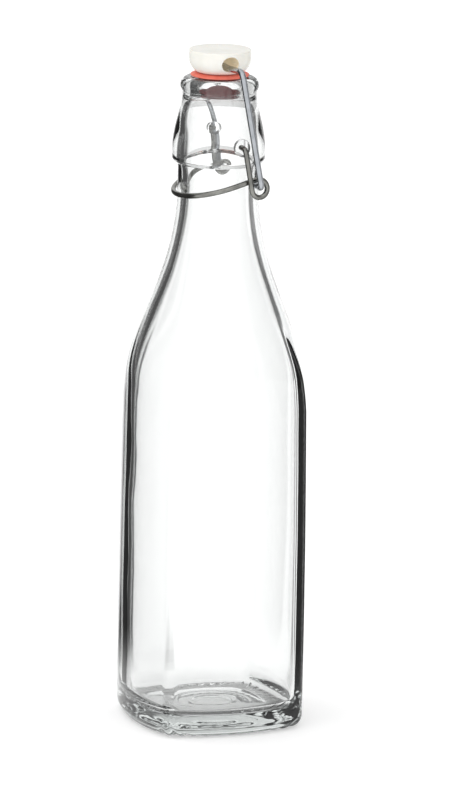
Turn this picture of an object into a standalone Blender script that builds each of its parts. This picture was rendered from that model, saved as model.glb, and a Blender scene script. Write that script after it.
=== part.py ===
"""Square swing-top glass bottle: bottle, stopper, gasket, wire bail and wire lever.

Metres, +Z up. The origin is the middle of the bearing ring under the base, and the
closure's two pivots lie along X. The lever's loop lies at the front, towards -Y.
"""
import math

import bmesh
import bpy
from mathutils import Vector

# Bottle body: a square with bowed sides and round corners, a little barrelled in height.
BODY_HALF = 0.0332           # middle of a side to the axis, at the shoulder's foot
WIDEST_HALF = 0.03382
WIDEST_Z = 0.0500
BARREL = 0.107               # narrowing per square metre of height from the widest level
CORNER_CENTRE = 0.0234       # centre of a corner's round, along X and along Y
CORNER_RADIUS = 0.0058
WALL = 0.0038
FLOOR = 0.0075
HEEL_RADIUS = 0.0050
BEARING_WIDTH = 0.0070
PUNT_HEIGHT = 0.0022
PUNT_SHARES = (0.35, 0.65, 0.88)     # where the punt's rings lie, over its width
FLOOR_ROUND = 0.0060
FLOOR_RISE = 0.0005          # the inner floor is slightly domed
FLOOR_RING_SHARE = 0.4
FLOOR_RING_RISE = 0.8        # share of the rise at that ring
FLOOR_ROUND_STEPS = 4
INNER_SQUARENESS = 0.85
BODY_RINGS = (0.035, 0.065, 0.095)   # heights of the plain body's rings
HEEL_STEPS = 4

# Shoulder: one sweep from the body to the neck, while the square turns round.
SHOULDER_FOOT = 0.1378
SHOULDER_TOP = 0.2117
SHOULDER_FOOT_PULL = 0.0226
SHOULDER_TOP_PULL = 0.0342
ROUNDING_START = 0.1246
ROUNDING_END = 0.1662
ROUNDING_RING = 0.1315       # a ring between the rounding's start and the shoulder
INNER_SHOULDER_FOOT = 0.1360
INNER_SHOULDER_TOP = 0.2110
INNER_FOOT_PULL = 0.0228
INNER_TOP_PULL = 0.0345
SHOULDER_STEPS = 14
INNER_SHOULDER_STEPS = 12

# Neck, collar and lip.
NECK_RADIUS = 0.01575
COLLAR_FOOT = 0.2217
COLLAR_STEP = 0.0024
COLLAR_RADIUS = 0.0181
COLLAR_WAIST = 0.2270
COLLAR_PULL = 0.0090         # pulls of the curve from the collar in to the throat
THROAT_PULL = 0.0050
COLLAR_EDGE_STEPS = 3
COLLAR_SWEEP_STEPS = 7
THROAT_RADIUS = 0.0144
THROAT_TOP = 0.2485
LIP_TUBE = 0.0033
LIP_TUBE_AT = 0.0120
LIP_TUBE_Z = 0.2521
LIP_STEPS = 8
NECK_BORE = 0.0122           # inner radius in the neck
COLLAR_BORE = 0.0136         # inner radius in the collar
COLLAR_BORE_FOOT = 0.2260
COLLAR_BORE_TOP = 0.2340
MOUTH_FOOT = 0.2515          # the bore is straight from here up to the mouth's round
NECK_BORE_PULLS = (0.0040, 0.0050)
MOUTH_PULLS = (0.0110, 0.0010)
NECK_BORE_STEPS = 4
MOUTH_SWEEP_STEPS = 8
MOUTH_RADIUS = 0.00875
MOUTH_ROUND = 0.0014
MOUTH_STEPS = 3
LIP_TOP = LIP_TUBE_Z + LIP_TUBE

# Blind round seats in the collar that hold the lever's ends.
PIVOT_Y = 0.0035
PIVOT_Z = 0.2300
SEAT_RADIUS = 0.0033
SEAT_FLOOR_X = 0.0150
SEAT_CUTTER_BEYOND = 0.0040  # how far the cutter runs past the collar

# Stopper, with a cross hole for the bail and a short stem for the gasket.
STOPPER_FOOT = 0.2574
STOPPER_TOP = 0.2661
STOPPER_FOOT_RADIUS = 0.0090
STOPPER_RIM_RADIUS = 0.0121
STOPPER_RIM_DEPTH = 0.0030
STOPPER_EDGE = 0.0004
STOPPER_EDGE_STEPS = 2
BOWL_SWEEP = math.radians(72)        # part of a quarter turn that shapes the bowl
BOWL_STEPS = 6
STEM_RADIUS = 0.0042
STEM_FOOT = 0.2532
CROSS_HOLE_RADIUS = 0.0030
CROSS_HOLE_WIDENING = 1.15
CROSS_HOLE_FOOT = 0.2588
CROSS_HOLE_REACH = 0.0160    # half the cutter's length

# Gasket: a flared flange on the lip and a plug in the mouth.
GAP = 0.0003
FLANGE_TOP_RADIUS = 0.0094
FLANGE_RADIUS = 0.0114
FLANGE_GAP = 0.0004          # the lever's dead centre draws the stopper down by nearly this much
FLANGE_FOOT = LIP_TOP + FLANGE_GAP
FLANGE_RIM_Z = 0.2562
PLUG_RADIUS = 0.0083
PLUG_FOOT_RADIUS = 0.0076
PLUG_FOOT = 0.2508
PLUG_STRAIGHT = 0.0028       # the plug is straight this far below the lip
PLUG_EDGE = 0.0007
FLANGE_EDGE = 0.0002

# Wires. The lever's coil runs from the crank's plane in to the arm's plane.
LEVER_WIRE = 0.00105         # wire radii
BAIL_WIRE = 0.0012
ARM_X = 0.0182
COIL_STEP = 0.00225
CRANK_X = ARM_X + COIL_STEP
BAIL_X = CRANK_X + LEVER_WIRE + BAIL_WIRE + GAP
EYE = Vector((0.0, 0.0098, 0.2143))
EYE_RADIUS = 0.0034
ARM_SLOPE = math.radians(16.2)
LOOP_REACH = 0.0171          # how far the loop reaches to the front
LEVER_END_X = 0.0155
PIVOT_BEND = 0.0020
HINGE_Y = 0.0094
HINGE_Z = 0.2150
HOOK_END_X = 0.0168
HOOK_BEND = 0.0018
BAIL_REST_GAP = 0.00015      # between the bail and the foot of the cross hole
BAIL_TOP_Z = CROSS_HOLE_FOOT + BAIL_WIRE + BAIL_REST_GAP
BAIL_SHOULDER_Y = 0.0006
BAIL_RISE_FROM_X = 0.0100
BAIL_RISE = 0.0008
BAIL_BEND = 0.0026

TURNS = 48                   # points round a turned shape
PLAN_ANGLES = (0, 11, 22, 32, 38.5, 42, 45, 48, 51.5, 58, 68, 79)   # one quarter, closest at the corner
LOOP_STEPS = 16
CUTTER_SIDES = 24
WIRE_ARC_STEP = math.radians(22)
WIRE_SHARP_ANGLE = math.radians(50)
WELD = 0.00001


# ---------------------------------------------------------------- small helpers
def curve_point(t, ends, pulls):
    """A point on the S-shaped cubic between two (radius, z) ends, upright at both."""
    (r0, z0), (r1, z1) = ends
    a, b, c, d = (1 - t) ** 3, 3 * t * (1 - t) ** 2, 3 * t * t * (1 - t), t ** 3
    radius = (a + b) * r0 + (c + d) * r1
    height = a * z0 + b * (z0 + pulls[0]) + c * (z1 - pulls[1]) + d * z1
    return radius, height


def sweep(ends, pulls, steps):
    return [curve_point(i / steps, ends, pulls) for i in range(steps + 1)]


def arc(centre, radius, start, end, steps):
    """Points on an arc in the (radius, z) plane, angles in degrees."""
    points = []
    for i in range(steps + 1):
        angle = math.radians(start + (end - start) * i / steps)
        points.append((centre[0] + radius * math.cos(angle), centre[1] + radius * math.sin(angle)))
    return points


def smooth(value):
    value = min(max(value, 0.0), 1.0)
    return value * value * (3 - 2 * value)


def squareness(z):
    """1 where the plan is the full square, 0 where it is round."""
    return 1 - smooth((z - ROUNDING_START) / (ROUNDING_END - ROUNDING_START))


def body_half(z):
    """Middle of a side to the axis, at a height on the plain body."""
    return WIDEST_HALF - BARREL * (z - WIDEST_Z) ** 2


def square_reach(angle):
    """Distance from the axis to the square plan at an angle, over the half width."""
    side = (CORNER_CENTRE ** 2 + (BODY_HALF - CORNER_CENTRE) ** 2 - CORNER_RADIUS ** 2) \
        / (2 * (BODY_HALF - CORNER_CENTRE - CORNER_RADIUS))
    local = angle - round(angle / (math.pi / 2)) * math.pi / 2
    offset = BODY_HALF - side
    along = offset * math.cos(local)
    reach = along + math.sqrt(along * along - offset * offset + side * side)
    x, y = reach * math.cos(local), abs(reach * math.sin(local))
    if math.atan2(y, x - offset) > math.atan2(CORNER_CENTRE, CORNER_CENTRE - offset):
        along = CORNER_CENTRE * (math.cos(local) + abs(math.sin(local)))
        reach = along + math.sqrt(along * along - 2 * CORNER_CENTRE ** 2 + CORNER_RADIUS ** 2)
    return reach / BODY_HALF


def make_material(name, colour, roughness, metallic=0.0, transmission=0.0):
    material = bpy.data.materials.new(name)
    material.use_nodes = True
    shader = material.node_tree.nodes["Principled BSDF"]
    shader.inputs["Base Color"].default_value = (*colour, 1.0)
    shader.inputs["Roughness"].default_value = roughness
    shader.inputs["Metallic"].default_value = metallic
    shader.inputs["Transmission Weight"].default_value = transmission
    return material


def add_object(name, data, collection, material=None):
    item = bpy.data.objects.new(name, data)
    collection.objects.link(item)
    if material:
        data.materials.append(material)
    return item


def add_collection(name):
    collection = bpy.data.collections.new(name)
    bpy.context.scene.collection.children.link(collection)
    return collection


def move_origin(item, origin):
    """Put a mesh object's origin on its joint axis, leaving the shape where it is."""
    for vertex in item.data.vertices:
        vertex.co -= origin
    item.location = origin


def cylinder_along_x(name, radius, x_from, x_to, y, z, collection, widening=1.0):
    """A cutter: a cylinder along X, kept out of the render."""
    mesh = bpy.data.meshes.new(name)
    work = bmesh.new()
    bmesh.ops.create_cone(work, cap_ends=True, segments=CUTTER_SIDES, radius1=radius, radius2=radius,
                          depth=x_to - x_from)
    bmesh.ops.scale(work, vec=(1, widening, 1), verts=work.verts)
    work.to_mesh(mesh)
    work.free()
    cutter = add_object(name, mesh, collection)
    cutter.rotation_euler = (0, math.pi / 2, 0)
    cutter.location = ((x_from + x_to) / 2, y, z)
    cutter.display_type = "WIRE"
    cutter.hide_render = True
    return cutter


def cut(item, cutter):
    modifier = item.modifiers.new("cut_" + cutter.name, "BOOLEAN")
    modifier.operation = "DIFFERENCE"
    modifier.solver = "EXACT"
    modifier.object = cutter


def turned(name, profile, collection, material):
    """A profile of (radius, z) points, run down the outer side, turned round Z."""
    mesh = bpy.data.meshes.new(name)
    mesh.from_pydata([(r, 0, z) for r, z in profile],
                     [(i, i + 1) for i in range(len(profile) - 1)], [])
    item = add_object(name, mesh, collection, material)
    screw = item.modifiers.new("turn", "SCREW")
    screw.axis = "Z"
    screw.steps = TURNS
    screw.render_steps = TURNS
    screw.use_merge_vertices = True
    screw.merge_threshold = WELD
    screw.use_smooth_shade = True
    return item


# ---------------------------------------------------------------- bottle
def outer_rings():
    """(half width, z, squareness) from the punt up to the middle of the lip's top."""
    rings = []
    heel_half = body_half(HEEL_RADIUS)
    flat_inner = heel_half - HEEL_RADIUS - BEARING_WIDTH
    for share in PUNT_SHARES:
        rings.append((flat_inner * share, PUNT_HEIGHT * (1 - share * share), 1))
    rings.append((flat_inner, 0, 1))
    heel_centre = (heel_half - HEEL_RADIUS, HEEL_RADIUS)
    rings += [(r, z, 1) for r, z in arc(heel_centre, HEEL_RADIUS, -90, 0, HEEL_STEPS)]
    rings += [(body_half(z), z, 1) for z in (*BODY_RINGS, ROUNDING_START)]
    rings.append((BODY_HALF, ROUNDING_RING, squareness(ROUNDING_RING)))
    shoulder = sweep(((BODY_HALF, SHOULDER_FOOT), (NECK_RADIUS, SHOULDER_TOP)),
                     (SHOULDER_FOOT_PULL, SHOULDER_TOP_PULL), SHOULDER_STEPS)
    rings += [(r, z, squareness(z)) for r, z in shoulder]
    rings.append((NECK_RADIUS, COLLAR_FOOT, 0))
    collar_edge = (COLLAR_RADIUS - COLLAR_STEP, COLLAR_FOOT + COLLAR_STEP)
    neck = arc(collar_edge, COLLAR_STEP, -80, 0, COLLAR_EDGE_STEPS)
    neck += sweep(((COLLAR_RADIUS, COLLAR_WAIST), (THROAT_RADIUS, THROAT_TOP)),
                  (COLLAR_PULL, THROAT_PULL), COLLAR_SWEEP_STEPS)
    neck += arc((LIP_TUBE_AT, LIP_TUBE_Z), LIP_TUBE, -40, 90, LIP_STEPS)
    rings += [(r, z, 0) for r, z in neck]
    return rings


def inner_rings():
    """(half width, z, squareness) from the mouth down to the middle of the floor."""
    mouth = arc((MOUTH_RADIUS + MOUTH_ROUND, LIP_TOP - MOUTH_ROUND), MOUTH_ROUND, 90, 180, MOUTH_STEPS)
    rings = [(r, z, 0) for r, z in mouth]
    bore = sweep(((COLLAR_BORE, COLLAR_BORE_TOP), (MOUTH_RADIUS, MOUTH_FOOT)),
                 MOUTH_PULLS, MOUTH_SWEEP_STEPS)[::-1]
    bore += sweep(((NECK_BORE, INNER_SHOULDER_TOP), (COLLAR_BORE, COLLAR_BORE_FOOT)),
                  NECK_BORE_PULLS, NECK_BORE_STEPS)[:0:-1]
    rings += [(r, z, 0) for r, z in bore]
    inner_half = BODY_HALF - WALL
    shoulder = sweep(((inner_half, INNER_SHOULDER_FOOT), (NECK_BORE, INNER_SHOULDER_TOP)),
                     (INNER_FOOT_PULL, INNER_TOP_PULL), INNER_SHOULDER_STEPS)
    rings += [(r, z, INNER_SQUARENESS * squareness(z)) for r, z in reversed(shoulder)]
    for z in (ROUNDING_START, *reversed(BODY_RINGS)):
        rings.append((body_half(z) - WALL, z, INNER_SQUARENESS))
    floor_half = body_half(FLOOR + FLOOR_ROUND) - WALL
    floor_corner = (floor_half - FLOOR_ROUND, FLOOR + FLOOR_ROUND)
    floor_round = arc(floor_corner, FLOOR_ROUND, 0, -90, FLOOR_ROUND_STEPS)
    rings += [(r, z, INNER_SQUARENESS) for r, z in floor_round]
    ring_z = FLOOR + FLOOR_RISE * FLOOR_RING_RISE
    rings.append((floor_half * FLOOR_RING_SHARE, ring_z, INNER_SQUARENESS))
    return rings


def make_bottle(collection, cutters, material):
    angles = [math.radians(90 * quarter + step) for quarter in range(4) for step in PLAN_ANGLES]
    reaches = [square_reach(angle) for angle in angles]
    work = bmesh.new()
    loops = []
    for half, z, square in outer_rings() + inner_rings():
        loop = []
        for angle, reach in zip(angles, reaches):
            radius = half * (1 + square * (reach - 1))
            loop.append(work.verts.new((radius * math.cos(angle), radius * math.sin(angle), z)))
        loops.append(loop)
    for low, high in zip(loops, loops[1:]):
        for i in range(len(angles)):
            j = (i + 1) % len(angles)
            work.faces.new((low[i], low[j], high[j], high[i]))
    under = work.verts.new((0, 0, PUNT_HEIGHT))
    floor = work.verts.new((0, 0, FLOOR + FLOOR_RISE))
    for i in range(len(angles)):
        j = (i + 1) % len(angles)
        work.faces.new((under, loops[0][j], loops[0][i]))
        work.faces.new((floor, loops[-1][i], loops[-1][j]))
    bmesh.ops.recalc_face_normals(work, faces=work.faces)
    mesh = bpy.data.meshes.new("bottle")
    work.to_mesh(mesh)
    work.free()
    mesh.shade_smooth()
    bottle = add_object("bottle", mesh, collection, material)
    beyond = COLLAR_RADIUS + SEAT_CUTTER_BEYOND
    for side, x_from, x_to in (("right", SEAT_FLOOR_X, beyond), ("left", -beyond, -SEAT_FLOOR_X)):
        cut(bottle, cylinder_along_x("seat_" + side, SEAT_RADIUS, x_from, x_to,
                                     PIVOT_Y, PIVOT_Z, cutters))
    return bottle


# ---------------------------------------------------------------- stopper and gasket
def make_stopper(collection, cutters, material):
    rim_foot = STOPPER_TOP - STOPPER_RIM_DEPTH
    profile = [(0, STOPPER_TOP)]
    edge_centre = (STOPPER_RIM_RADIUS - STOPPER_EDGE, STOPPER_TOP - STOPPER_EDGE)
    profile += arc(edge_centre, STOPPER_EDGE, 90, 0, STOPPER_EDGE_STEPS)
    bowl_drop = rim_foot - STOPPER_FOOT
    bowl_step = STOPPER_RIM_RADIUS - STOPPER_FOOT_RADIUS
    for i in range(BOWL_STEPS + 1):
        angle = BOWL_SWEEP * i / BOWL_STEPS
        share = math.sin(angle) / math.sin(BOWL_SWEEP)
        drawn_in = (1 - math.cos(angle)) / (1 - math.cos(BOWL_SWEEP))
        profile.append((STOPPER_RIM_RADIUS - bowl_step * drawn_in, rim_foot - bowl_drop * share))
    profile += [(STEM_RADIUS, STOPPER_FOOT), (STEM_RADIUS, STEM_FOOT), (0, STEM_FOOT)]
    stopper = turned("stopper", profile, collection, material)
    hole_z = CROSS_HOLE_FOOT + CROSS_HOLE_RADIUS
    cut(stopper, cylinder_along_x("cross_hole", CROSS_HOLE_RADIUS, -CROSS_HOLE_REACH,
                                  CROSS_HOLE_REACH, 0, hole_z, cutters, CROSS_HOLE_WIDENING))


def make_gasket(collection, material):
    socket = STEM_RADIUS + GAP
    top = STOPPER_FOOT - GAP
    profile = [(0, STEM_FOOT - GAP), (socket, STEM_FOOT - GAP), (socket, top)]
    profile.append((FLANGE_TOP_RADIUS, top))
    profile.append((FLANGE_RADIUS - FLANGE_EDGE, FLANGE_RIM_Z + FLANGE_EDGE))
    profile.append((FLANGE_RADIUS, FLANGE_RIM_Z - FLANGE_EDGE / 2))
    profile.append((FLANGE_RADIUS - FLANGE_EDGE * 1.5, FLANGE_FOOT))
    profile += [(PLUG_RADIUS, FLANGE_FOOT), (PLUG_RADIUS, FLANGE_FOOT - PLUG_STRAIGHT)]
    profile.append((PLUG_FOOT_RADIUS, PLUG_FOOT + PLUG_EDGE))
    profile += [(PLUG_FOOT_RADIUS - PLUG_EDGE, PLUG_FOOT), (0, PLUG_FOOT)]
    return turned("gasket", profile, collection, material)


# ---------------------------------------------------------------- wires
def bend(before, corner, after, radius):
    """Points of a round bend that replaces a corner between two straight runs."""
    to_before = (before - corner).normalized()
    to_after = (after - corner).normalized()
    half = to_before.angle(to_after) / 2
    reach = radius / math.tan(half)
    centre = corner + (to_before + to_after).normalized() * (radius / math.sin(half))
    start = corner + to_before * reach - centre
    end = corner + to_after * reach - centre
    turn = math.pi - 2 * half
    steps = max(2, math.ceil(turn / WIRE_ARC_STEP))
    return [centre + start.slerp(end, i / steps).normalized() * radius for i in range(steps + 1)]


def mirrored(points):
    """The same run on the other side, in reverse order."""
    return [Vector((-p.x, p.y, p.z)) for p in reversed(points)]


def wire(name, points, radius, collection, material):
    """A round wire through the points, made a closed mesh with welded caps."""
    curve = bpy.data.curves.new(name + "_path", "CURVE")
    curve.dimensions = "3D"
    curve.bevel_depth = radius
    curve.bevel_resolution = 2
    curve.use_fill_caps = True
    spline = curve.splines.new("POLY")
    spline.points.add(len(points) - 1)
    for target, point in zip(spline.points, points):
        target.co = (*point, 1)
    path = add_object(name + "_path", curve, collection)
    bpy.context.view_layer.update()
    graph = bpy.context.evaluated_depsgraph_get()
    mesh = bpy.data.meshes.new_from_object(path.evaluated_get(graph))
    mesh.name = name
    work = bmesh.new()
    work.from_mesh(mesh)
    bmesh.ops.remove_doubles(work, verts=work.verts, dist=WELD)
    bmesh.ops.recalc_face_normals(work, faces=work.faces)
    work.to_mesh(mesh)
    work.free()
    item = add_object(name, mesh, collection, material)
    item.matrix_world = path.matrix_world
    bpy.data.objects.remove(path)
    mesh.shade_smooth()
    mesh.set_sharp_from_angle(angle=WIRE_SHARP_ANGLE)
    return item


def eye_point(angle, x):
    return Vector((x, EYE.y + EYE_RADIUS * math.cos(angle), EYE.z + EYE_RADIUS * math.sin(angle)))


def lever_half():
    """The lever from its right end in the seat, round the eye, to the start of the loop."""
    pivot = Vector((0, PIVOT_Y, PIVOT_Z))
    to_eye = EYE - pivot
    aim = math.atan2(to_eye.z, to_eye.y)
    touch = aim - math.asin(EYE_RADIUS / to_eye.length)
    start_angle = touch - math.pi / 2
    end_angle = math.pi / 2 + ARM_SLOPE
    while end_angle < start_angle + math.pi:
        end_angle += 2 * math.pi
    corner = Vector((CRANK_X, PIVOT_Y, PIVOT_Z))
    points = [Vector((LEVER_END_X, PIVOT_Y, PIVOT_Z))]
    points += bend(points[0], corner, eye_point(start_angle, CRANK_X), PIVOT_BEND)
    steps = math.ceil((end_angle - start_angle) / WIRE_ARC_STEP)
    for i in range(steps + 1):
        share = i / steps
        angle = start_angle + (end_angle - start_angle) * share
        points.append(eye_point(angle, CRANK_X - COIL_STEP * smooth(share)))
    return points


def make_lever(collection, material):
    right = lever_half()
    leave = right[-1]
    loop = []
    for i in range(LOOP_STEPS + 1):
        angle = math.pi * i / LOOP_STEPS
        y = -LOOP_REACH * math.sin(angle)
        z = leave.z - (leave.y - y) * math.tan(ARM_SLOPE)
        loop.append(Vector((ARM_X * math.cos(angle), y, z)))
    lever = wire("lever", right + loop + mirrored(right), LEVER_WIRE, collection, material)
    move_origin(lever, Vector((0, PIVOT_Y, PIVOT_Z)))
    return lever


def make_bail(collection, material):
    hinge = Vector((BAIL_X, HINGE_Y, HINGE_Z))
    hook_end = Vector((HOOK_END_X, HINGE_Y, HINGE_Z))
    middle = Vector((BAIL_RISE_FROM_X, 0, BAIL_TOP_Z))
    shoulder = Vector((BAIL_X, BAIL_SHOULDER_Y, BAIL_TOP_Z + BAIL_RISE))
    right = [middle]
    right += bend(middle, shoulder, hinge, BAIL_BEND)
    right += bend(shoulder, hinge, hook_end, HOOK_BEND)
    right.append(hook_end)
    points = mirrored(right) + right
    bail = wire("bail", points, BAIL_WIRE, collection, material)
    move_origin(bail, Vector((0, HINGE_Y, HINGE_Z)))
    return bail


def main():
    for item in list(bpy.data.objects):
        bpy.data.objects.remove(item)
    parts = add_collection("swing_top_bottle")
    cutters = add_collection("cutters")
    glass = make_material("glass", (0.93, 0.97, 0.95), 0.02, transmission=1.0)
    plastic = make_material("stopper_plastic", (0.88, 0.87, 0.82), 0.25)
    rubber = make_material("gasket_rubber", (0.75, 0.12, 0.07), 0.55)
    lever_steel = make_material("lever_steel", (0.62, 0.62, 0.61), 0.18, metallic=1.0)
    bail_steel = make_material("bail_steel", (0.62, 0.62, 0.61), 0.18, metallic=1.0)
    make_bottle(parts, cutters, glass)
    make_stopper(parts, cutters, plastic)
    make_gasket(parts, rubber)
    make_lever(parts, lever_steel)
    make_bail(parts, bail_steel)


main()
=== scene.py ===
"""Square swing-top glass bottle: its looks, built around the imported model. Metres, +Z up."""
import math

import bmesh
import bpy
from mathutils import Matrix, Vector, noise


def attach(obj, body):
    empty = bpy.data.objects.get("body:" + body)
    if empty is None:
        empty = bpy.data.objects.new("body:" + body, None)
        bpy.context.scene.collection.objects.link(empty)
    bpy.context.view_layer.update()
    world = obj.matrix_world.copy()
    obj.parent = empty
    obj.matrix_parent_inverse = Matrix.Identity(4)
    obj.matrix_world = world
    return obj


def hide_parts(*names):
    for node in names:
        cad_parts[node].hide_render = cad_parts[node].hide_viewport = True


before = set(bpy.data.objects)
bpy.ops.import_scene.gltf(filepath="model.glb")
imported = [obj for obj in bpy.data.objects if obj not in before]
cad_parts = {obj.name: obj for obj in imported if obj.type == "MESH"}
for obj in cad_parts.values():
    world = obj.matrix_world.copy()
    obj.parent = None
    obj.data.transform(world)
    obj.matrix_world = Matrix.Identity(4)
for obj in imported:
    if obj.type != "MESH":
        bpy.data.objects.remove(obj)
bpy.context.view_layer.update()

# Bottle body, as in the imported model.
BODY_HALF = 0.0332           # from the axis to the middle of a side, at the shoulder's foot
WIDEST_HALF = 0.03382        # the same where the body is widest
WIDEST_Z = 0.0500
BARREL = 0.107               # how fast the sides close in above and below the widest place
BARREL_END = 0.1050          # above this the side eases upright to the shoulder's foot
CORNER_CENTRE = 0.0234       # the corner's arc is centred at this x and y
CORNER_RADIUS = 0.0058
WALL = 0.0038
FLOOR = 0.0075
FLOOR_RISE = 0.0005
FLOOR_ROUND = 0.0060
HEEL_RADIUS = 0.0050
BEARING_WIDTH = 0.0070
PUNT_HEIGHT = 0.0022
INNER_SQUARENESS = 0.85      # the cavity's corners are rounder than the outside
SHOULDER_FOOT = 0.1378
SHOULDER_TOP = 0.2117
SHOULDER_PULLS = (0.0226, 0.0342)        # handle lengths of the curve, from its foot and top
ROUNDING_START = 0.1246      # between these heights the square plan becomes round
ROUNDING_END = 0.1662
INNER_SHOULDER_FOOT = 0.1360
INNER_SHOULDER_TOP = 0.2110
INNER_PULLS = (0.0228, 0.0345)

# Neck, collar, lip and pivot seats.
NECK_RADIUS = 0.01575
COLLAR_FOOT = 0.2217
COLLAR_STEP = 0.0024         # radius of the collar's rounded foot
COLLAR_RADIUS = 0.0181
COLLAR_WAIST = 0.2270
COLLAR_PULLS = (0.0090, 0.0050)
THROAT_RADIUS = 0.0144
THROAT_TOP = 0.2485
LIP_TUBE = 0.0033            # the lip is a ring of this section radius
LIP_TUBE_AT = 0.0120
LIP_TUBE_Z = 0.2521
LIP_TOP = LIP_TUBE_Z + LIP_TUBE
NECK_BORE = 0.0122
COLLAR_BORE = 0.0136
COLLAR_BORE_FOOT = 0.2260
COLLAR_BORE_TOP = 0.2340
MOUTH_FOOT = 0.2515
NECK_BORE_PULLS = (0.0040, 0.0050)
MOUTH_PULLS = (0.0110, 0.0010)
MOUTH_RADIUS = 0.00875
MOUTH_ROUND = 0.0014
PIVOT_Y = 0.0035
PIVOT_Z = 0.2300
SEAT_RADIUS = 0.0033
SEAT_FLOOR_X = 0.0150
SEAT_CUT_BEYOND = 0.004      # the seats' cutters start this far outside the collar

# Moulded marks in the glass.
KNURL_PITCH = 0.0054
KNURL_DEPTH = 0.0010
KNURL_INNER = 0.0225         # the knurl lies between these distances from the axis
KNURL_OUTER = 0.0300
KNURL_FADE = 0.0020
PUNT_RIDGES = ((0.0085, 0.00030), (0.0150, 0.00035))     # radius and height
PUNT_RIDGE_WIDTH = 0.0011
MARKS_FADE_FROM = 0.0003     # the punt's ridges fade in above this height
MARKS_FADE = 0.0008
INNER_WAVE = 0.00012
INNER_WAVE_SIZE = 0.022

# Stopper and gasket.
STOPPER_FOOT = 0.2574
STOPPER_TOP = 0.2661
STOPPER_FOOT_RADIUS = 0.0090
STOPPER_RIM_RADIUS = 0.0121
STOPPER_RIM_DEPTH = 0.0030
STOPPER_EDGE = 0.0004
STOPPER_TOP_RING = 0.6       # the flat top has a ring of points at this share of its radius
BOWL_SWEEP = math.radians(72)
STEM_RADIUS = 0.0042
STEM_FOOT = 0.2532
CROSS_HOLE_RADIUS = 0.0030
CROSS_HOLE_WIDENING = 1.15
CROSS_HOLE_FOOT = 0.2588
CROSS_HOLE_REACH = 0.016     # half length of the hole's cutter
HOLE_PAINTED_GLOW = 0.16             # painted light: the hole's wall glows, standing in for light that comes through the thin plastic
GAP = 0.0003
FLANGE_TOP_RADIUS = 0.0094
FLANGE_RADIUS = 0.0114
FLANGE_FOOT = LIP_TOP + 0.0004
FLANGE_RIM_Z = 0.2562
FLANGE_EDGE = 0.0003
FLANGE_UNDERCUT = 0.0004
PLUG_RADIUS = 0.0083
PLUG_FOOT_RADIUS = 0.0076
PLUG_FOOT = 0.2508
PLUG_STRAIGHT = 0.0028
PLUG_EDGE = 0.0007

# Wires.
LEVER_WIRE = 0.00105
BAIL_WIRE = 0.0012
ARM_X = 0.0182
COIL_STEP = 0.00225
CRANK_X = ARM_X + COIL_STEP
BAIL_X = CRANK_X + LEVER_WIRE + BAIL_WIRE + GAP
EYE = Vector((0.0, 0.0098, 0.2143))
EYE_RADIUS = 0.0034
ARM_SLOPE = math.radians(16.2)
LOOP_REACH = 0.0171
LEVER_END_X = 0.0155
PIVOT_BEND = 0.0020
HINGE_Y = 0.0094
HINGE_Z = 0.2150
HOOK_END_X = 0.0168
HOOK_BEND = 0.0018
BAIL_IN_HOLE = 0.00015       # from the hole's foot to the wire
BAIL_TOP_Z = CROSS_HOLE_FOOT + BAIL_WIRE + BAIL_IN_HOLE
BAIL_SHOULDER_Y = 0.0006
BAIL_RISE_FROM_X = 0.0100
BAIL_RISE = 0.0008
BAIL_BEND = 0.0026

# How finely the shapes are divided.
QUARTER_STEPS = 80           # points round a quarter of the bottle
CORNER_CROWDING = 1.7        # above 1 they stand closest together at the corners
ROUND_STEPS = 128            # points round a turned piece
HOLE_STEPS = 64
BOWL_STEPS = 24
EDGE_STEPS = 6
PUNT_STEPS = 26
BEARING_STEPS = 6
HEEL_STEPS = 16
BODY_STEPS = 36
SHOULDER_STEPS = 44
NECK_STEPS = 4
COLLAR_FOOT_STEPS = 10
COLLAR_STEPS = 22
LIP_STEPS = 20
MOUTH_STEPS = 10
COLLAR_BORE_STEPS = 30
NECK_BORE_STEPS = 14
INNER_SHOULDER_STEPS = 40
INNER_BODY_STEPS = 30
FLOOR_ROUND_STEPS = 14
FLOOR_STEPS = 8
WIRE_ARC_STEP = math.radians(6)
WIRE_RESOLUTION = 6
LOOP_STEPS = 64
SHARP_ANGLE = math.radians(40)
WIRE_SHARP_ANGLE = math.radians(50)
WELD = 0.00001

# Camera, at the photograph's viewing angle.
CAMERA_AZIMUTH = math.radians(69.52)
CAMERA_ELEVATION = math.radians(12.24)
CAMERA_DISTANCE = 3.3884
CAMERA_TARGET_Z = 0.13944
CAMERA_YAW = math.radians(0.11)
CAMERA_PITCH = math.radians(-0.20)
CAMERA_ROLL = math.radians(1.01)
CAMERA_LENS = 391.68
SENSOR_HEIGHT = 36.0
CLIP_END = 50.0

# Studio.
FLOOR_Z = -0.0002
FLOOR_HALF = 12.0
FLOOR_ALBEDO = 0.80
FLOOR_GLOW = 0.32
SKY_LEVEL = 0.98
SKY_SWING = 0.34             # the sky is this much brighter on its bright side, darker opposite
SKY_BRIGHT_WAY = (0.5, -0.75, 0.45)      # toward the camera, to the right, up
SCREEN_RADIUS = 0.30
SCREEN_HEIGHT = 0.60
SCREEN_STEPS = 24
SCREEN_FADE = 9.0            # degrees
SCREEN_TOP_FADE = 0.3        # share of the height
SCREEN_FOOT = 0.052          # the screen also runs in over the floor to this radius
SCREEN_FOOT_STEPS = 16
SCREEN_FOOT_FADE = 2.2       # the foot is fully dark from 1 / this of the way out
SCREEN_LIFT = 0.0003
LEFT_BANDS = ((-112, -31, 0.92),)        # from, to, darkness: see add_screen
RIGHT_BANDS = ((42, 58, 0.85), (82, 112, 0.62))
HEEL_SHADE = 0.70            # darkness of the painted contact shadow on the floor right under the bearing edge
HEEL_SHADE_INNER = 0.0205    # the dark ring lies between these distances from the axis
HEEL_SHADE_OUTER = 0.0325
HEEL_SHADE_STEPS = 8
HEEL_SHADE_FADE = 4          # it fades over 1 / this of its width at each edge

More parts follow.
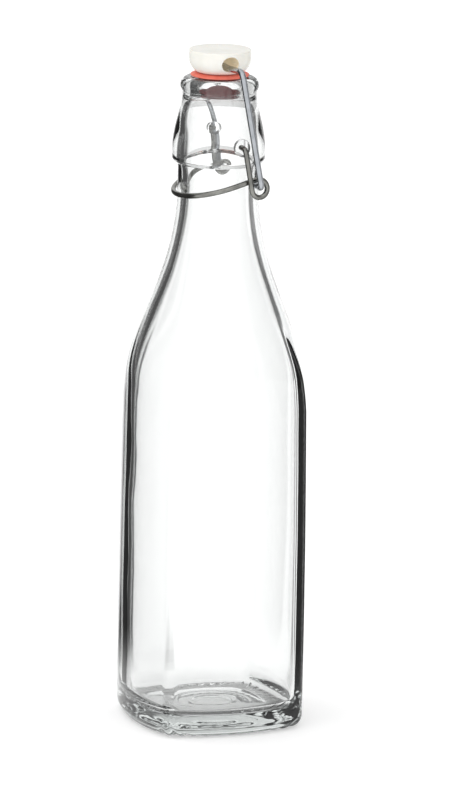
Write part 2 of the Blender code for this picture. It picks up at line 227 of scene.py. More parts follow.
# Colours, as the darkest and lightest tone of each surface.
CLEAR_GLASS = ((0.985, 0.99, 0.988), (0.995, 0.997, 0.996))
GLASS_DEPTH_COLOUR = (0.88, 0.895, 0.89)
GLASS_DEPTH_DENSITY = 42.0
GLASS_IOR = 1.52
WHITE_PLASTIC = ((0.79, 0.78, 0.72), (0.85, 0.84, 0.79))
TAN_PLASTIC = ((0.86, 0.76, 0.58), (0.94, 0.86, 0.70))
RED_RUBBER = ((0.78, 0.14, 0.09), (0.86, 0.20, 0.14))
# painted shade: the red rubber of the plug inside the glass mouth is coloured dark
RUBBER_SHADED_IN_MOUTH = (0.16, 0.006, 0.005)
LEVER_STEEL = ((0.16, 0.16, 0.15), (0.30, 0.30, 0.28))
BAIL_STEEL = ((0.34, 0.36, 0.38), (0.48, 0.50, 0.53))
TONE_FROM = 0.3              # the noise values between which the tones change
TONE_TO = 0.7
DARKEN_BELOW = 0.0002        # the soft edge of the painted shade below the flange reaches this far down and up
DARKEN_ABOVE = 0.0001


# ---------------------------------------------------------------- camera and studio
def toward_camera():
    """The level direction from the bottle to the camera."""
    return Vector((math.sin(CAMERA_AZIMUTH), -math.cos(CAMERA_AZIMUTH), 0))


def view_axes():
    """Right, up and forward of the camera before its roll, and its place."""
    away = toward_camera() * math.cos(CAMERA_ELEVATION) + Vector((0, 0, math.sin(CAMERA_ELEVATION)))
    target = Vector((0, 0, CAMERA_TARGET_Z))
    place = target + away * CAMERA_DISTANCE
    forward = -away
    right = forward.cross(Vector((0, 0, 1))).normalized()
    up = right.cross(forward)
    forward = (forward + right * math.tan(CAMERA_YAW) + up * math.tan(CAMERA_PITCH)).normalized()
    right = forward.cross(Vector((0, 0, 1))).normalized()
    return right, right.cross(forward), forward, place


def make_camera():
    right, up, forward, place = view_axes()
    cosine, sine = math.cos(CAMERA_ROLL), math.sin(CAMERA_ROLL)
    rolled_right = right * cosine + up * sine
    rolled_up = up * cosine - right * sine
    data = bpy.data.cameras.new("camera")
    data.sensor_fit = "VERTICAL"
    data.sensor_height = SENSOR_HEIGHT
    data.lens = CAMERA_LENS
    data.clip_end = CLIP_END
    camera = bpy.data.objects.new("camera", data)
    bpy.context.collection.objects.link(camera)
    turn = Matrix((rolled_right, rolled_up, -forward)).transposed().to_4x4()
    camera.matrix_world = Matrix.Translation(place) @ turn
    bpy.context.scene.camera = camera


def new_material(name):
    material = bpy.data.materials.new(name)
    material.use_nodes = True
    return material, material.node_tree, material.node_tree.nodes["Principled BSDF"]


def matt_material(name, grey):
    """A plain grey surface with no shine."""
    material, _, shader = new_material(name)
    shader.inputs["Base Color"].default_value = (grey, grey, grey, 1)
    shader.inputs["Roughness"].default_value = 0.9
    shader.inputs["Specular IOR Level"].default_value = 0.0
    return material


def add_floor():
    """A pale floor that glows a little, so that it stays nearly white."""
    material = matt_material("pale_floor", FLOOR_ALBEDO)
    shader = material.node_tree.nodes["Principled BSDF"]
    shader.inputs["Emission Color"].default_value = (1, 1, 1, 1)
    shader.inputs["Emission Strength"].default_value = FLOOR_GLOW
    mesh = bpy.data.meshes.new("floor")
    corners = ((-FLOOR_HALF, -FLOOR_HALF), (FLOOR_HALF, -FLOOR_HALF),
               (FLOOR_HALF, FLOOR_HALF), (-FLOOR_HALF, FLOOR_HALF))
    mesh.from_pydata([(x, y, FLOOR_Z) for x, y in corners], [], [(0, 1, 2, 3)])
    mesh.materials.append(material)
    plane = bpy.data.objects.new("floor", mesh)
    bpy.context.collection.objects.link(plane)


def add_screen(name, bands):
    """A dark curved screen round the bottle that only shines and refractions see.

    Bands are (from, to, darkness), in degrees to the right of straight behind; between and
    beyond them the screen fades to clear, so it has no visible edge.
    """
    right = view_axes()[0]
    behind = -toward_camera()
    start, end = bands[0][0] - SCREEN_FADE, bands[-1][1] + SCREEN_FADE
    columns = math.ceil(end - start)
    rim = []                             # radius, height and darkness, from the foot up
    for j in range(SCREEN_FOOT_STEPS):
        share = j / SCREEN_FOOT_STEPS
        radius = SCREEN_FOOT + (SCREEN_RADIUS - SCREEN_FOOT) * share
        rim.append((radius, 0.0, smooth(SCREEN_FOOT_FADE * share)))
    for j in range(SCREEN_STEPS + 1):
        fade = smooth((SCREEN_STEPS - j) / SCREEN_STEPS / SCREEN_TOP_FADE)
        rim.append((SCREEN_RADIUS, SCREEN_HEIGHT * j / SCREEN_STEPS, fade))
    points, faces, shades = [], [], []
    for i in range(columns + 1):
        angle = start + (end - start) * i / columns
        way = behind * math.cos(math.radians(angle)) + right * math.sin(math.radians(angle))
        across = max(dark * smooth((angle - low) / SCREEN_FADE + 1)
                     * smooth((high - angle) / SCREEN_FADE + 1) for low, high, dark in bands)
        for radius, z, level in rim:
            points.append(way * radius + Vector((0, 0, z + SCREEN_LIFT)))
            shades.append(across * level)
    for i in range(columns):
        for j in range(len(rim) - 1):
            k = i * len(rim) + j
            faces.append((k, k + len(rim), k + len(rim) + 1, k + 1))
    add_shade(name, points, faces, shades)


def add_heel_shade():
    """A dark ring under the bearing edge, a painted contact shadow seen only through the glass."""
    angles = plan_angles()
    points, faces, shades = [], [], []
    for angle in angles:
        way = Vector((math.cos(angle), math.sin(angle), 0)) * square_reach(angle)
        for j in range(HEEL_SHADE_STEPS + 1):
            share = j / HEEL_SHADE_STEPS
            half = HEEL_SHADE_INNER + (HEEL_SHADE_OUTER - HEEL_SHADE_INNER) * share
            points.append(way * half + Vector((0, 0, FLOOR_Z / 2)))
            shades.append(HEEL_SHADE * smooth(HEEL_SHADE_FADE * min(share, 1 - share)))
    row = HEEL_SHADE_STEPS + 1
    for i in range(len(angles)):
        after = (i + 1) % len(angles)
        for j in range(HEEL_SHADE_STEPS):
            faces.append((i * row + j, i * row + j + 1, after * row + j + 1, after * row + j))
    add_shade("heel_shade", points, faces, shades)


def add_shade(name, points, faces, shades):
    """A black sheet, as opaque at each point as its shade, that only shines and refractions see."""
    mesh = bpy.data.meshes.new(name)
    mesh.from_pydata(points, [], faces)
    shade = mesh.attributes.new("shade", "FLOAT", "POINT")
    shade.data.foreach_set("value", shades)
    material = matt_material(name, 0.0)
    tree = material.node_tree
    read = tree.nodes.new("ShaderNodeAttribute")
    read.attribute_name = "shade"
    tree.links.new(read.outputs["Fac"], tree.nodes["Principled BSDF"].inputs["Alpha"])
    mesh.materials.append(material)
    screen = bpy.data.objects.new(name, mesh)
    bpy.context.collection.objects.link(screen)
    screen.visible_camera = False
    screen.visible_diffuse = False
    screen.visible_shadow = False


def add_sky():
    """Soft light from all round, brighter on one side."""
    ahead, aside, above = SKY_BRIGHT_WAY
    bright_way = toward_camera() * ahead + view_axes()[0] * aside + Vector((0, 0, above))
    world = bpy.data.worlds.new("soft_light")
    bpy.context.scene.world = world
    world.use_nodes = True
    tree = world.node_tree
    place = tree.nodes.new("ShaderNodeTexCoord")
    bright_side = tree.nodes.new("ShaderNodeVectorMath")
    bright_side.operation = "DOT_PRODUCT"
    bright_side.inputs[1].default_value = bright_way.normalized()
    tree.links.new(place.outputs["Generated"], bright_side.inputs[0])
    level = tree.nodes.new("ShaderNodeMapRange")
    level.interpolation_type = "SMOOTHSTEP"
    level.inputs["From Min"].default_value = -1.0
    level.inputs["From Max"].default_value = 1.0
    level.inputs["To Min"].default_value = SKY_LEVEL - SKY_SWING
    level.inputs["To Max"].default_value = SKY_LEVEL + SKY_SWING
    tree.links.new(bright_side.outputs["Value"], level.inputs["Value"])
    tree.links.new(level.outputs["Result"], tree.nodes["Background"].inputs["Strength"])
    tree.nodes["Background"].inputs["Color"].default_value = (1, 1, 1, 1)


def make_studio():
    add_floor()
    add_screen("screen_left", LEFT_BANDS)
    add_screen("screen_right", RIGHT_BANDS)
    add_heel_shade()
    add_sky()
    bpy.context.scene.view_settings.view_transform = "Standard"


# ---------------------------------------------------------------- shape helpers
def curve_point(t, ends, pulls):
    """A point of the S-curve between two (radius, z) ends, which leaves both of them upright."""
    (r0, z0), (r1, z1) = ends
    a, b, c, d = (1 - t) ** 3, 3 * t * (1 - t) ** 2, 3 * t * t * (1 - t), t ** 3
    return (a + b) * r0 + (c + d) * r1, a * z0 + b * (z0 + pulls[0]) + c * (z1 - pulls[1]) + d * z1


def sweep(ends, pulls, steps):
    """The whole of that curve, as points."""
    return [curve_point(i / steps, ends, pulls) for i in range(steps + 1)]


def arc(centre, radius, start, end, steps):
    """Points of an arc, from one angle in degrees to another."""
    points = []
    for i in range(steps + 1):
        angle = math.radians(start + (end - start) * i / steps)
        points.append((centre[0] + radius * math.cos(angle), centre[1] + radius * math.sin(angle)))
    return points


def smooth(value):
    """0 below 0, 1 above 1, and an easy rise between."""
    value = min(max(value, 0.0), 1.0)
    return value * value * (3 - 2 * value)


def squareness(z):
    """1 where the plan is square, 0 where it is round."""
    return 1 - smooth((z - ROUNDING_START) / (ROUNDING_END - ROUNDING_START))


def barrel(z):
    return WIDEST_HALF - BARREL * (z - WIDEST_Z) ** 2


def body_half(z, foot=SHOULDER_FOOT):
    """Half width of the body, easing upright into the shoulder's foot."""
    if z <= BARREL_END:
        return barrel(z)
    span = foot - BARREL_END
    t = (z - BARREL_END) / span
    slope = -2 * BARREL * (BARREL_END - WIDEST_Z) * span
    return (barrel(BARREL_END) * (1 + 2 * t) * (1 - t) ** 2 + slope * t * (1 - t) ** 2
            + BODY_HALF * t * t * (3 - 2 * t))


def square_reach(angle):
    """Distance from the axis to the square plan, as a share of its half width.

    A side is a long arc centred far behind the axis, and the corners are small arcs that it meets
    smoothly.
    """
    side = (CORNER_CENTRE ** 2 + (BODY_HALF - CORNER_CENTRE) ** 2 - CORNER_RADIUS ** 2) \
        / (2 * (BODY_HALF - CORNER_CENTRE - CORNER_RADIUS))
    local = angle - round(angle / (math.pi / 2)) * math.pi / 2
    offset = BODY_HALF - side
    along = offset * math.cos(local)
    reach = along + math.sqrt(along * along - offset * offset + side * side)
    x, y = reach * math.cos(local), abs(reach * math.sin(local))
    if math.atan2(y, x - offset) > math.atan2(CORNER_CENTRE, CORNER_CENTRE - offset):
        along = CORNER_CENTRE * (math.cos(local) + abs(math.sin(local)))
        reach = along + math.sqrt(along * along - 2 * CORNER_CENTRE ** 2 + CORNER_RADIUS ** 2)
    return reach / BODY_HALF


def plan_angles():
    """Angles round the bottle, closest together at the corners."""
    half = QUARTER_STEPS // 2
    rise = [math.pi / 4 * (1 - (1 - i / half) ** CORNER_CROWDING) for i in range(half + 1)]
    quarter = rise + [math.pi / 2 - a for a in reversed(rise[1:half])]
    return [math.pi / 2 * q + a for q in range(4) for a in quarter]


def link(name, mesh, material):
    """Put a smooth mesh in the scene as a piece."""
    piece = bpy.data.objects.new(name, mesh)
    bpy.context.collection.objects.link(piece)
    mesh.materials.append(material)
    mesh.shade_smooth()
    return piece


def loft(name, loops, ends, material):
    """A closed skin over loops of points, closed at both ends by a point."""
    work = bmesh.new()
    rows = [[work.verts.new(p) for p in loop] for loop in loops]
    count = len(rows[0])
    for low, high in zip(rows, rows[1:]):
        for i in range(count):
            j = (i + 1) % count
            work.faces.new((low[i], low[j], high[j], high[i]))
    for row, end in ((rows[0], ends[0]), (rows[-1], ends[1])):
        tip = work.verts.new(end)
        for i in range(count):
            work.faces.new((tip, row[i], row[(i + 1) % count]))
    bmesh.ops.recalc_face_normals(work, faces=work.faces)
    mesh = bpy.data.meshes.new(name)
    work.to_mesh(mesh)
    work.free()
    return link(name, mesh, material)


def turned(name, profile, material):
    """A profile of (radius, z) points turned round Z; its first and last points lie on Z."""
    loops = []
    for r, z in profile[1:-1]:
        loops.append([(r * math.cos(2 * math.pi * i / ROUND_STEPS),
                       r * math.sin(2 * math.pi * i / ROUND_STEPS), z) for i in range(ROUND_STEPS)])
    piece = loft(name, loops, ((0, 0, profile[0][1]), (0, 0, profile[-1][1])), material)
    piece.data.set_sharp_from_angle(angle=SHARP_ANGLE)
    return piece


def cut_round(piece, radius, x_from, x_to, y, z, widening=1.0, material=None):
    """Cut a round hole along X out of a piece, and apply the cut.

    A material, if one is given, covers the hole's wall.
    """
    work = bmesh.new()
    bmesh.ops.create_cone(work, cap_ends=True, segments=HOLE_STEPS, radius1=radius, radius2=radius,
                          depth=abs(x_to - x_from))
    bmesh.ops.scale(work, vec=(1, widening, 1), verts=work.verts)
    place = Matrix.Translation(((x_from + x_to) / 2, y, z)) @ Matrix.Rotation(math.pi / 2, 4, "Y")
    bmesh.ops.transform(work, matrix=place, verts=work.verts)
    mesh = bpy.data.meshes.new("cutter")
    work.to_mesh(mesh)
    work.free()
    if material:
        mesh.materials.append(material)
    cutter = bpy.data.objects.new("cutter", mesh)
    bpy.context.collection.objects.link(cutter)
    modifier = piece.modifiers.new("cut", "BOOLEAN")
    modifier.operation = "DIFFERENCE"
    modifier.solver = "EXACT"
    modifier.object = cutter
    if material:
        modifier.material_mode = "TRANSFER"
    bpy.context.view_layer.update()
    graph = bpy.context.evaluated_depsgraph_get()
    result = bpy.data.meshes.new_from_object(piece.evaluated_get(graph))
    piece.modifiers.clear()
    piece.data = result
    bpy.data.objects.remove(cutter)
    result.set_sharp_from_angle(angle=SHARP_ANGLE)


# ---------------------------------------------------------------- materials
def add_noise(tree, scale, detail=3.0):
    """Noise in the object's own space, with about scale spots to a metre."""
    place = tree.nodes.new("ShaderNodeTexCoord")
    texture = tree.nodes.new("ShaderNodeTexNoise")
    texture.inputs["Scale"].default_value = scale
    texture.inputs["Detail"].default_value = detail
    tree.links.new(place.outputs["Object"], texture.inputs["Vector"])
    return texture


def vary(tree, texture, socket, low, high):
    """Vary a socket's value between low and high with the noise."""
    ramp = tree.nodes.new("ShaderNodeMapRange")
    ramp.inputs["To Min"].default_value = low
    ramp.inputs["To Max"].default_value = high
    tree.links.new(texture.outputs["Fac"], ramp.inputs["Value"])
    tree.links.new(ramp.outputs["Result"], socket)


def add_bump(tree, texture, shader, strength, distance):
    bump = tree.nodes.new("ShaderNodeBump")
    bump.inputs["Strength"].default_value = strength
    bump.inputs["Distance"].default_value = distance
    tree.links.new(texture.outputs["Fac"], bump.inputs["Height"])
    tree.links.new(bump.outputs["Normal"], shader.inputs["Normal"])


def vary_colour(tree, texture, shader, dark, light):
    """Vary the base colour between two tones with the noise."""
    ramp = tree.nodes.new("ShaderNodeValToRGB")
    ramp.color_ramp.elements[0].position = TONE_FROM
    ramp.color_ramp.elements[0].color = (*dark, 1)
    ramp.color_ramp.elements[1].position = TONE_TO
    ramp.color_ramp.elements[1].color = (*light, 1)
    tree.links.new(texture.outputs["Fac"], ramp.inputs["Fac"])
    tree.links.new(ramp.outputs["Color"], shader.inputs["Base Color"])


def glass_material():
    material, tree, shader = new_material("clear_glass")
    shader.inputs["Transmission Weight"].default_value = 1.0
    shader.inputs["IOR"].default_value = GLASS_IOR
    vary_colour(tree, add_noise(tree, scale=30), shader, *CLEAR_GLASS)
    vary(tree, add_noise(tree, scale=90), shader.inputs["Roughness"], low=0.0, high=0.012)
    add_bump(tree, add_noise(tree, scale=70, detail=1.0), shader, strength=0.10, distance=0.0005)
    volume = tree.nodes.new("ShaderNodeVolumeAbsorption")
    volume.inputs["Color"].default_value = (*GLASS_DEPTH_COLOUR, 1)
    volume.inputs["Density"].default_value = GLASS_DEPTH_DENSITY
    output = tree.nodes["Material Output"]
    tree.links.new(volume.outputs["Volume"], output.inputs["Volume"])
    return material


def plastic_material(name, dark, light, roughness, glow=0.0):
    material, tree, shader = new_material(name)
    vary_colour(tree, add_noise(tree, scale=160), shader, dark, light)
    vary(tree, add_noise(tree, scale=400), shader.inputs["Roughness"],
         low=roughness - 0.02, high=roughness + 0.03)
    add_bump(tree, add_noise(tree, scale=2500, detail=2.0), shader, strength=0.02, distance=0.00005)
    shader.inputs["Subsurface Weight"].default_value = 0.15
    shader.inputs["Subsurface Radius"].default_value = (0.002, 0.0016, 0.0012)
    shader.inputs["Subsurface Scale"].default_value = 1.0
    # a glow is painted light: an emission in the dark tone
    shader.inputs["Emission Color"].default_value = (*dark, 1)
    shader.inputs["Emission Strength"].default_value = glow
    return material


def paint_shade_below(tree, shader, z, colour):
    """Paint a darker colour below a height as painted shade, with a narrow soft edge."""
    place = tree.nodes.new("ShaderNodeTexCoord")
    split = tree.nodes.new("ShaderNodeSeparateXYZ")
    tree.links.new(place.outputs["Object"], split.inputs["Vector"])
    step = tree.nodes.new("ShaderNodeMapRange")
    step.inputs["From Min"].default_value = z - DARKEN_BELOW
    step.inputs["From Max"].default_value = z + DARKEN_ABOVE
    tree.links.new(split.outputs["Z"], step.inputs["Value"])
    mix = tree.nodes.new("ShaderNodeMix")
    mix.data_type = "RGBA"
    mix.inputs["A"].default_value = (*colour, 1)
    above = shader.inputs["Base Color"].links[0].from_socket
    tree.links.new(step.outputs["Result"], mix.inputs["Factor"])
    tree.links.new(above, mix.inputs["B"])
    tree.links.new(mix.outputs["Result"], shader.inputs["Base Color"])


def rubber_material():
    material, tree, shader = new_material("red_rubber")
    vary_colour(tree, add_noise(tree, scale=300), shader, *RED_RUBBER)
    vary(tree, add_noise(tree, scale=500), shader.inputs["Roughness"], low=0.42, high=0.58)
    add_bump(tree, add_noise(tree, scale=3000), shader, strength=0.15, distance=0.0001)
    # painted shade: the plug below the flange, inside the mouth, is coloured darker
    paint_shade_below(tree, shader, FLANGE_FOOT, RUBBER_SHADED_IN_MOUTH)
    return material


def steel_material(name, dark, light):
    material, tree, shader = new_material(name)
    shader.inputs["Metallic"].default_value = 1.0
    vary_colour(tree, add_noise(tree, scale=250), shader, dark, light)
    vary(tree, add_noise(tree, scale=900), shader.inputs["Roughness"], low=0.10, high=0.22)
    add_bump(tree, add_noise(tree, scale=1800, detail=2.0), shader, strength=0.08, distance=0.0001)
    return material


# ---------------------------------------------------------------- bottle
def outer_rings():
    """Rings of the outer skin as (half width, z, squareness), from the punt up to the lip's top."""
    heel_half = body_half(HEEL_RADIUS)
    flat_inner = heel_half - HEEL_RADIUS - BEARING_WIDTH
    rings = []
    for i in range(1, PUNT_STEPS):
        share = i / PUNT_STEPS
        rings.append((flat_inner * share, PUNT_HEIGHT * (1 - share * share), 1))
    rings += [(flat_inner + BEARING_WIDTH * i / BEARING_STEPS, 0, 1) for i in range(BEARING_STEPS)]
    heel = arc((heel_half - HEEL_RADIUS, HEEL_RADIUS), HEEL_RADIUS, -90, 0, HEEL_STEPS)
    rings += [(r, z, 1) for r, z in heel]
    for i in range(1, BODY_STEPS):
        z = HEEL_RADIUS + (SHOULDER_FOOT - HEEL_RADIUS) * i / BODY_STEPS
        rings.append((body_half(z), z, squareness(z)))
    shoulder = sweep(((BODY_HALF, SHOULDER_FOOT), (NECK_RADIUS, SHOULDER_TOP)), SHOULDER_PULLS,
                     SHOULDER_STEPS)
    rings += [(r, z, squareness(z)) for r, z in shoulder]
    neck = [(NECK_RADIUS, SHOULDER_TOP + (COLLAR_FOOT - SHOULDER_TOP) * i / NECK_STEPS)
            for i in range(1, NECK_STEPS + 1)]
    neck += arc((COLLAR_RADIUS - COLLAR_STEP, COLLAR_FOOT + COLLAR_STEP), COLLAR_STEP, -80, 0,
                COLLAR_FOOT_STEPS)
    neck += sweep(((COLLAR_RADIUS, COLLAR_WAIST), (THROAT_RADIUS, THROAT_TOP)), COLLAR_PULLS,
                  COLLAR_STEPS)
    neck += arc((LIP_TUBE_AT, LIP_TUBE_Z), LIP_TUBE, -40, 90, LIP_STEPS)
    return rings + [(r, z, 0) for r, z in neck]


def inner_rings():
    """Rings of the cavity's skin in the same form, from the mouth down to its floor."""
    mouth = arc((MOUTH_RADIUS + MOUTH_ROUND, LIP_TOP - MOUTH_ROUND), MOUTH_ROUND, 90, 180, MOUTH_STEPS)
    bore = sweep(((COLLAR_BORE, COLLAR_BORE_TOP), (MOUTH_RADIUS, MOUTH_FOOT)), MOUTH_PULLS,
                 COLLAR_BORE_STEPS)[::-1]
    bore += sweep(((NECK_BORE, INNER_SHOULDER_TOP), (COLLAR_BORE, COLLAR_BORE_FOOT)),
                  NECK_BORE_PULLS, NECK_BORE_STEPS)[:0:-1]
    rings = [(r, z, 0) for r, z in mouth + bore]
    inner_half = BODY_HALF - WALL
    shoulder = sweep(((inner_half, INNER_SHOULDER_FOOT), (NECK_BORE, INNER_SHOULDER_TOP)),
                     INNER_PULLS, INNER_SHOULDER_STEPS)
    rings += [(r, z, INNER_SQUARENESS * squareness(z)) for r, z in reversed(shoulder)]
    floor_z = FLOOR + FLOOR_ROUND
    for i in range(1, INNER_BODY_STEPS):
        z = INNER_SHOULDER_FOOT + (floor_z - INNER_SHOULDER_FOOT) * i / INNER_BODY_STEPS
        half = body_half(z, INNER_SHOULDER_FOOT) - WALL
        rings.append((half, z, INNER_SQUARENESS * squareness(z)))
    floor_half = body_half(floor_z) - WALL
    floor = arc((floor_half - FLOOR_ROUND, floor_z), FLOOR_ROUND, 0, -90, FLOOR_ROUND_STEPS)
    rings += [(r, z, INNER_SQUARENESS) for r, z in floor]
    last = floor_half - FLOOR_ROUND
    for i in range(1, FLOOR_STEPS):
        share = 1 - i / FLOOR_STEPS
        rings.append((last * share, FLOOR + FLOOR_RISE * (1 - share * share), INNER_SQUARENESS))
    return rings


def under_relief(x, y, z, along):
    """Height of the moulded marks under the base: ridges in the punt, a knurl at the bearing edge.

    Along is the angle within the knurl's wave.
    """
    radius = math.hypot(x, y)
    ridges = 0.0
    for at, height in PUNT_RIDGES:
        ridges -= height * math.exp(-((radius - at) / PUNT_RIDGE_WIDTH) ** 2)
    ridges *= smooth((z - MARKS_FADE_FROM) / MARKS_FADE)
    reach = max(abs(x), abs(y))
    edge = smooth((reach - KNURL_INNER) / KNURL_FADE) * smooth((KNURL_OUTER - reach) / KNURL_FADE)
    return ridges, edge * KNURL_DEPTH * (0.5 + 0.5 * math.cos(along))


def make_bottle(material):
    """One closed skin of glass, outside and cavity, with the two pivot seats cut in."""
    angles = plan_angles()
    reaches = [square_reach(a) for a in angles]
    outline = [Vector((r * math.cos(a), r * math.sin(a))) * body_half(0)
               for a, r in zip(angles, reaches)]
    travel = [0.0]
    for here, there in zip(outline, outline[1:]):
        travel.append(travel[-1] + (there - here).length)
    around = travel[-1] + (outline[0] - outline[-1]).length
    marks = round(around / KNURL_PITCH)
    loops = []
    outer = outer_rings()
    for index, (half, z, square) in enumerate(outer + inner_rings()):
        inner = index >= len(outer)
        loop = []
        for angle, reach, way in zip(angles, reaches, travel):
            radius = half * (1 + square * (reach - 1))
            x, y = radius * math.cos(angle), radius * math.sin(angle)
            height = z
            if not inner and z < HEEL_RADIUS:
                ridge, knurl = under_relief(x, y, z, 2 * math.pi * marks * way / around)
                height = z + ridge + knurl
            if inner and z < INNER_SHOULDER_TOP:
                wave = noise.noise(Vector((x, y, z)) / INNER_WAVE_SIZE) * INNER_WAVE
                x, y = x * (1 + wave / radius), y * (1 + wave / radius)
            loop.append((x, y, height))
        loops.append(loop)
    bottle = loft("glass_bottle", loops, ((0, 0, PUNT_HEIGHT), (0, 0, FLOOR + FLOOR_RISE)), material)
    beyond = COLLAR_RADIUS + SEAT_CUT_BEYOND
    cut_round(bottle, SEAT_RADIUS, SEAT_FLOOR_X, beyond, PIVOT_Y, PIVOT_Z)
    cut_round(bottle, SEAT_RADIUS, -beyond, -SEAT_FLOOR_X, PIVOT_Y, PIVOT_Z)
    return bottle


# ---------------------------------------------------------------- stopper and gasket
def make_stopper(material, hole_material):
    rim_foot = STOPPER_TOP - STOPPER_RIM_DEPTH
    profile = [(0, STOPPER_TOP), (STOPPER_RIM_RADIUS * STOPPER_TOP_RING, STOPPER_TOP)]
    profile += arc((STOPPER_RIM_RADIUS - STOPPER_EDGE, STOPPER_TOP - STOPPER_EDGE), STOPPER_EDGE,
                   90, 0, EDGE_STEPS)
    taper = STOPPER_RIM_RADIUS - STOPPER_FOOT_RADIUS
    for i in range(BOWL_STEPS + 1):
        angle = BOWL_SWEEP * i / BOWL_STEPS
        drop = (rim_foot - STOPPER_FOOT) * math.sin(angle) / math.sin(BOWL_SWEEP)
        inward = taper * (1 - math.cos(angle)) / (1 - math.cos(BOWL_SWEEP))
        profile.append((STOPPER_RIM_RADIUS - inward, rim_foot - drop))
    profile += [(STEM_RADIUS, STOPPER_FOOT), (STEM_RADIUS, STEM_FOOT), (0, STEM_FOOT)]
    stopper = turned("white_stopper", profile, material)
    cut_round(stopper, CROSS_HOLE_RADIUS, -CROSS_HOLE_REACH, CROSS_HOLE_REACH, 0,
              CROSS_HOLE_FOOT + CROSS_HOLE_RADIUS, CROSS_HOLE_WIDENING, hole_material)
    return stopper


def make_gasket(material):
    socket, top = STEM_RADIUS + GAP, STOPPER_FOOT - GAP
    rim = arc((FLANGE_RADIUS - FLANGE_EDGE, FLANGE_RIM_Z), FLANGE_EDGE, 50, -80, EDGE_STEPS)
    profile = [(0, STEM_FOOT - GAP), (socket, STEM_FOOT - GAP), (socket, top), (FLANGE_TOP_RADIUS, top)]
    profile += rim + [(FLANGE_RADIUS - FLANGE_UNDERCUT, FLANGE_FOOT), (PLUG_RADIUS, FLANGE_FOOT)]
    profile += [(PLUG_RADIUS, FLANGE_FOOT - PLUG_STRAIGHT), (PLUG_FOOT_RADIUS, PLUG_FOOT + PLUG_EDGE)]
    profile += [(PLUG_FOOT_RADIUS - PLUG_EDGE, PLUG_FOOT), (0, PLUG_FOOT)]
    return turned("red_gasket", profile, material)


# ---------------------------------------------------------------- wires
def bend(before, corner, after, radius):
    """Points of a round bend at a corner of a wire's path."""
    to_before = (before - corner).normalized()
    to_after = (after - corner).normalized()
    half = to_before.angle(to_after) / 2
    reach = radius / math.tan(half)
    centre = corner + (to_before + to_after).normalized() * (radius / math.sin(half))
    start = corner + to_before * reach - centre
    end = corner + to_after * reach - centre
    steps = math.ceil((math.pi - 2 * half) / WIRE_ARC_STEP)
    return [centre + start.slerp(end, i / steps).normalized() * radius for i in range(steps + 1)]


def mirrored(points):
    """The same path on the other side, run the other way."""
    return [Vector((-p.x, p.y, p.z)) for p in reversed(points)]


def wire(name, points, radius, material):
    """A bent wire with closed ends, as a mesh."""
    curve = bpy.data.curves.new(name, "CURVE")
    curve.dimensions = "3D"
    curve.bevel_depth = radius
    curve.bevel_resolution = WIRE_RESOLUTION
    curve.use_fill_caps = True
    spline = curve.splines.new("POLY")
    spline.points.add(len(points) - 1)
    for target, point in zip(spline.points, points):
        target.co = (*point, 1)
    path = bpy.data.objects.new(name + "_path", curve)
    bpy.context.collection.objects.link(path)
    bpy.context.view_layer.update()
    graph = bpy.context.evaluated_depsgraph_get()
    mesh = bpy.data.meshes.new_from_object(path.evaluated_get(graph))
    bpy.data.objects.remove(path)
    work = bmesh.new()
    work.from_mesh(mesh)
    bmesh.ops.remove_doubles(work, verts=work.verts, dist=WELD)
    bmesh.ops.recalc_face_normals(work, faces=work.faces)
    work.to_mesh(mesh)
    work.free()
    mesh.materials.clear()
    piece = link(name, mesh, material)
    mesh.set_sharp_from_angle(angle=WIRE_SHARP_ANGLE)
    return piece


def eye_point(angle, x):
    return Vector((x, EYE.y + EYE_RADIUS * math.cos(angle), EYE.z + EYE_RADIUS * math.sin(angle)))


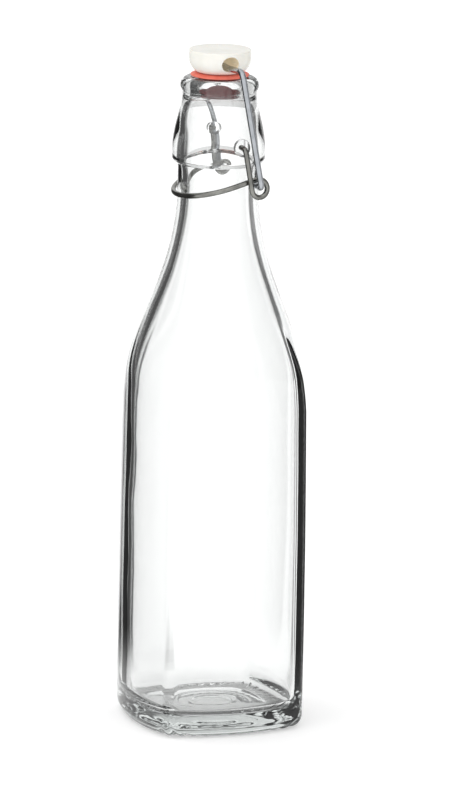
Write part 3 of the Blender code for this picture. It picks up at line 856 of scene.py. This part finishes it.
def make_lever(material):
    """Each side runs from its seat down a crank, once round the eye and along the arm to the loop."""
    pivot = Vector((0, PIVOT_Y, PIVOT_Z))
    to_eye = EYE - pivot
    lean = math.asin(EYE_RADIUS / to_eye.length)
    start_angle = math.atan2(to_eye.z, to_eye.y) - lean - math.pi / 2
    end_angle = math.pi / 2 + ARM_SLOPE
    while end_angle < start_angle + math.pi:
        end_angle += 2 * math.pi
    corner = Vector((CRANK_X, PIVOT_Y, PIVOT_Z))
    right = [Vector((LEVER_END_X, PIVOT_Y, PIVOT_Z))]
    right += bend(right[0], corner, eye_point(start_angle, CRANK_X), PIVOT_BEND)
    steps = math.ceil((end_angle - start_angle) / WIRE_ARC_STEP)
    for i in range(steps + 1):
        share = i / steps
        angle = start_angle + (end_angle - start_angle) * share
        right.append(eye_point(angle, CRANK_X - COIL_STEP * smooth(share)))
    leave = right[-1]
    loop = []
    for i in range(LOOP_STEPS + 1):
        angle = math.pi * i / LOOP_STEPS
        y = -LOOP_REACH * math.sin(angle)
        z = leave.z - (leave.y - y) * math.tan(ARM_SLOPE)
        loop.append(Vector((ARM_X * math.cos(angle), y, z)))
    return wire("lever_wire", right + loop + mirrored(right), LEVER_WIRE, material)


def make_bail(material):
    """A straight run through the stopper, a side down to each eye, and a hook turned in at its end."""
    hinge = Vector((BAIL_X, HINGE_Y, HINGE_Z))
    hook_end = Vector((HOOK_END_X, HINGE_Y, HINGE_Z))
    middle = Vector((BAIL_RISE_FROM_X, 0, BAIL_TOP_Z))
    shoulder = Vector((BAIL_X, BAIL_SHOULDER_Y, BAIL_TOP_Z + BAIL_RISE))
    right = [middle] + bend(middle, shoulder, hinge, BAIL_BEND)
    right += bend(shoulder, hinge, hook_end, HOOK_BEND) + [hook_end]
    return wire("bail_wire", mirrored(right) + right, BAIL_WIRE, material)


def place(piece, body, node, slot):
    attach(piece, body)
    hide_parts(node)


make_camera()
make_studio()
place(make_bottle(glass_material()), "bottle", "bottle", "glass")
white = plastic_material("stopper_plastic", *WHITE_PLASTIC, roughness=0.25)
tan = plastic_material("stopper_hole", *TAN_PLASTIC, roughness=0.45, glow=HOLE_PAINTED_GLOW)
place(make_stopper(white, tan), "stopper", "stopper", "stopper_plastic")
place(make_gasket(rubber_material()), "stopper", "gasket", "gasket_rubber")
place(make_lever(steel_material("lever_steel", *LEVER_STEEL)), "lever", "lever", "lever_steel")
place(make_bail(steel_material("bail_steel", *BAIL_STEEL)), "bail", "bail", "bail_steel")
